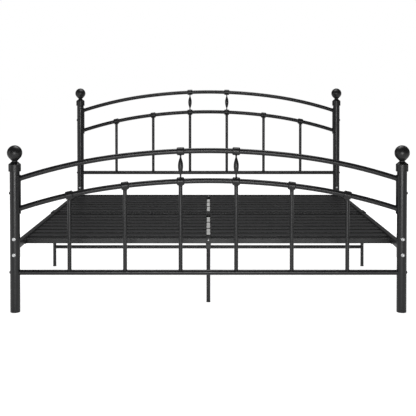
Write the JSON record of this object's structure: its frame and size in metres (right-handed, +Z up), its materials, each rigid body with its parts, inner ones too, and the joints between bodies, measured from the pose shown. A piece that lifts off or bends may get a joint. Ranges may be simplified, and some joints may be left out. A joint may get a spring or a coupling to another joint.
{
  "type": "metal bed frame",
  "caption": "Metal bed frame with ball-topped tubular posts, arched spindle head and foot panels, side rails and a slatted steel deck on a central beam with legs.",
  "frame": {"origin": "on the floor, under the middle of the bed", "axes": "+X to the right seen from the foot, +Y from the foot to the head, +Z up"},
  "size_m": [1.9014, 2.1214, 1.0557],
  "materials": {
    "frame_black": "black powder coat, satin, on bent and welded steel tube",
    "slat_black": "black powder coat, satin, on roll-formed steel",
    "casting_black": "black enamel on die-cast metal",
    "finial_black": "moulded black plastic, satin to gloss",
    "foot_plastic": "moulded black polyethylene",
    "zinc_fastener": "bright zinc plate",
    "black_fastener": "black zinc plate",
    "noise_plastic": "white extruded plastic strip"
  },
  "bodies": {
    "root": {"bottom_rail_plugs": "zinc_fastener", "centre_beam_joiner": "frame_black", "centre_beams": "frame_black", "centre_brackets": "frame_black", "centre_ledges": "frame_black", "centre_legs": "frame_black", "cross_bar_bolts": "zinc_fastener", "foot_baluster_1": "frame_black", "foot_baluster_2": "frame_black", "foot_baluster_3": "frame_black", "foot_baluster_4": "frame_black", "foot_baluster_5": "frame_black", "foot_baluster_6": "frame_black", "foot_bottom_rail": "frame_black", "foot_cross_bar": "frame_black", "foot_knuckles": "casting_black", "foot_left_finial": "finial_black", "foot_left_post": "frame_black", "foot_left_slats": "slat_black", "foot_lower_arch": "frame_black", "foot_right_finial": "finial_black", "foot_right_post": "frame_black", "foot_right_slats": "slat_black", "foot_saddle_plates": "frame_black", "foot_spindles": "casting_black", "foot_upper_arch": "frame_black", "head_baluster_1": "frame_black", "head_baluster_2": "frame_black", "head_baluster_3": "frame_black", "head_baluster_4": "frame_black", "head_baluster_5": "frame_black", "head_baluster_6": "frame_black", "head_bottom_rail": "frame_black", "head_cross_bar": "frame_black", "head_knuckles": "casting_black", "head_left_finial": "finial_black", "head_left_post": "frame_black", "head_left_slats": "slat_black", "head_lower_arch": "frame_black", "head_right_finial": "finial_black", "head_right_post": "frame_black", "head_right_slats": "slat_black", "head_saddle_plates": "frame_black", "head_spindles": "casting_black", "head_upper_arch": "frame_black", "left_rail_foot_half": "frame_black", "left_rail_head_half": "frame_black", "leg_glides": "foot_plastic", "leg_stretchers": "frame_black", "middle_cross_bar": "frame_black", "noise_strips": "noise_plastic", "nuts": "zinc_fastener", "panel_bolts": "black_fastener", "post_feet": "foot_plastic", "rail_bolts": "zinc_fastener", "rail_end_brackets": "frame_black", "rail_sleeves": "frame_black", "right_rail_foot_half": "frame_black", "right_rail_head_half": "frame_black", "side_legs": "frame_black"}
  },
  "joints": []
}
